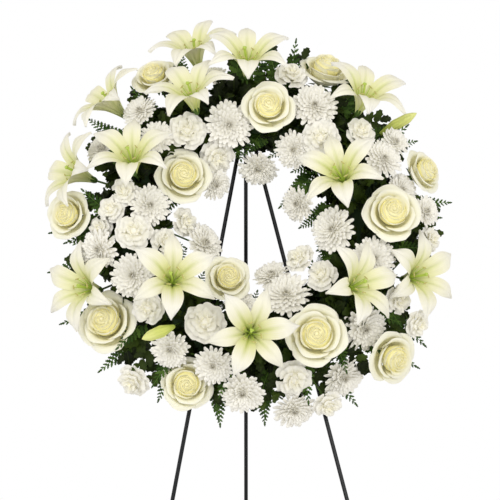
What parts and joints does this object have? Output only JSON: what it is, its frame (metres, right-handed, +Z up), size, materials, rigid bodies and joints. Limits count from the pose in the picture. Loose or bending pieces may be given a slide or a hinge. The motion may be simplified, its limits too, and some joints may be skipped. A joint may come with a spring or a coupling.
{
  "type": "standing funeral wreath",
  "caption": "Round wreath of white lilies, roses, chrysanthemums, carnations and fern set in a foam ring, standing on a folding wire easel.",
  "frame": {"origin": "centre of the overall bounding box, on the floor under the easel's feet", "axes": "+Z up, +X to the right seen from the front, -Y the way that the flowers face"},
  "size_m": [0.6689, 0.5809, 1.3351],
  "materials": {
    "lily_petal": "satin petal",
    "lily_bud": "satin petal",
    "rose_petal": "velvety petal",
    "chrysanthemum_petal": "matte petal",
    "carnation_petal": "matte petal",
    "fern_leaf": "satin leaf",
    "floral_foam": "wet open foam",
    "tray_plastic": "moulded plastic",
    "easel_wire": "gloss black paint"
  },
  "bodies": {
    "wreath_on_frame": {"carnation_spray_bottom": "carnation_petal", "carnation_spray_inner_left": "carnation_petal", "carnation_spray_inner_right": "carnation_petal", "carnation_spray_left": "carnation_petal", "carnation_spray_lower_left": "carnation_petal", "carnation_spray_right": "carnation_petal", "carnation_spray_upper_left": "carnation_petal", "carnation_spray_upper_right": "carnation_petal", "easel_cradle_wire": "easel_wire", "easel_hinge_pin": "easel_wire", "easel_left_leg": "easel_wire", "easel_right_leg": "easel_wire", "fern_bottom": "fern_leaf", "fern_inner": "fern_leaf", "fern_left": "fern_leaf", "fern_lower_right": "fern_leaf", "fern_right": "fern_leaf", "fern_upper_left": "fern_leaf", "fern_upper_right": "fern_leaf", "foam_ring": "floral_foam", "lily_bottom": "lily_petal", "lily_bud_left": "lily_bud", "lily_bud_right": "lily_bud", "lily_far_left": "lily_petal", "lily_far_right": "lily_petal", "lily_left": "lily_petal", "lily_lower_left": "lily_petal", "lily_lower_right": "lily_petal", "lily_right": "lily_petal", "lily_rim_left": "lily_petal", "lily_rim_top": "lily_petal", "lily_rim_upper_left": "lily_petal", "lily_top": "lily_petal", "lily_upper_left": "lily_petal", "lily_upper_right": "lily_petal", "mum_spray_bottom": "chrysanthemum_petal", "mum_spray_far_left": "chrysanthemum_petal", "mum_spray_inner_bottom": "chrysanthemum_petal", "mum_spray_inner_left": "chrysanthemum_petal", "mum_spray_inner_right": "chrysanthemum_petal", "mum_spray_inner_top": "chrysanthemum_petal", "mum_spray_lower_right": "chrysanthemum_petal", "mum_spray_right": "chrysanthemum_petal", "mum_spray_top": "chrysanthemum_petal", "mum_spray_upper_left": "chrysanthemum_petal", "mum_spray_upper_right": "chrysanthemum_petal", "ring_tray": "tray_plastic", "rose_bottom": "rose_petal", "rose_bottom_right": "rose_petal", "rose_far_left": "rose_petal", "rose_far_right": "rose_petal", "rose_inner": "rose_petal", "rose_left": "rose_petal", "rose_lower_left": "rose_petal", "rose_lower_right": "rose_petal", "rose_right": "rose_petal", "rose_top": "rose_petal", "rose_upper_left": "rose_petal", "rose_upper_right": "rose_petal"},
    "rear_leg": {"easel_rear_leg": "easel_wire"}
  },
  "joints": [
    {"name": "rear_leg_fold", "type": "hinge", "parent": "wreath_on_frame", "child": "rear_leg", "pos_m": [-0.007, -0.02818, 1.17807], "axis": [1, 0, 0], "range_deg": [-24, 0]}
  ]
}
